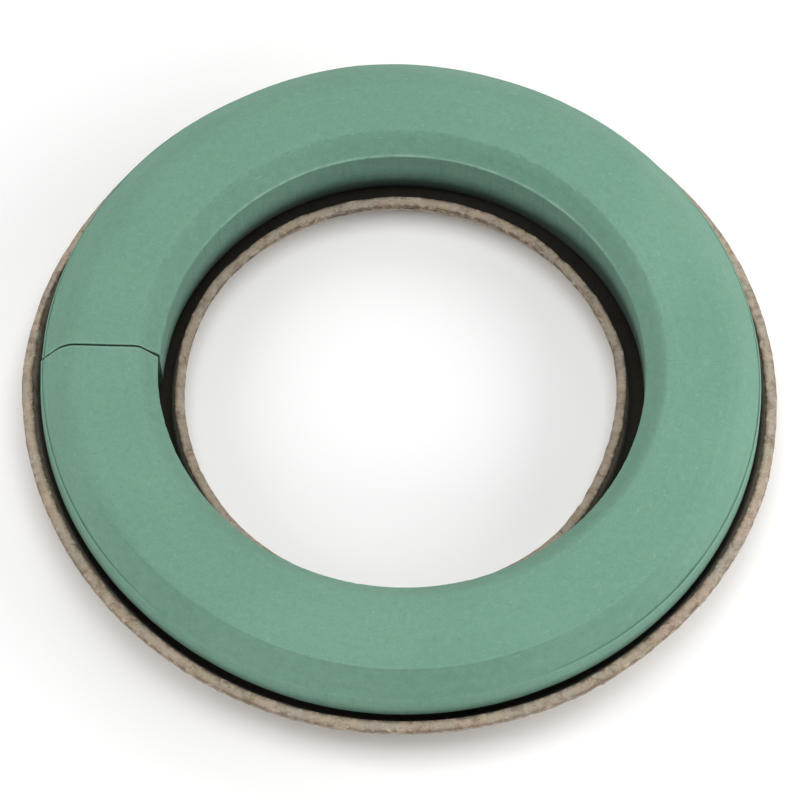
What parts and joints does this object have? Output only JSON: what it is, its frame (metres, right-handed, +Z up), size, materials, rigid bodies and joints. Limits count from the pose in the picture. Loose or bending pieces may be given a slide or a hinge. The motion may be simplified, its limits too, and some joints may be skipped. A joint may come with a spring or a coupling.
{
  "type": "floral foam wreath ring",
  "caption": "Ring of green wet floral foam in two half rings, glued into a shallow ring-shaped tray of moulded paper pulp",
  "frame": {"origin": "middle of the ring, on the surface that the tray stands on", "axes": "+Z up out of the tray along the ring's axis; -X runs through the clearly visible butt joint of the foam; -Y is the side nearest the camera"},
  "size_m": [0.3, 0.3, 0.0423],
  "materials": {
    "moulded_pulp": "matte",
    "floral_foam": "matte",
    "hot_melt": "satin"
  },
  "bodies": {
    "root": {"pulp_tray": "moulded_pulp", "foam_half_rear": "floral_foam", "foam_half_front": "floral_foam", "glue_dab_rear_1": "hot_melt", "glue_dab_rear_2": "hot_melt", "glue_dab_rear_3": "hot_melt", "glue_dab_rear_4": "hot_melt", "glue_dab_front_1": "hot_melt", "glue_dab_front_2": "hot_melt", "glue_dab_front_3": "hot_melt", "glue_dab_front_4": "hot_melt"}
  },
  "joints": []
}
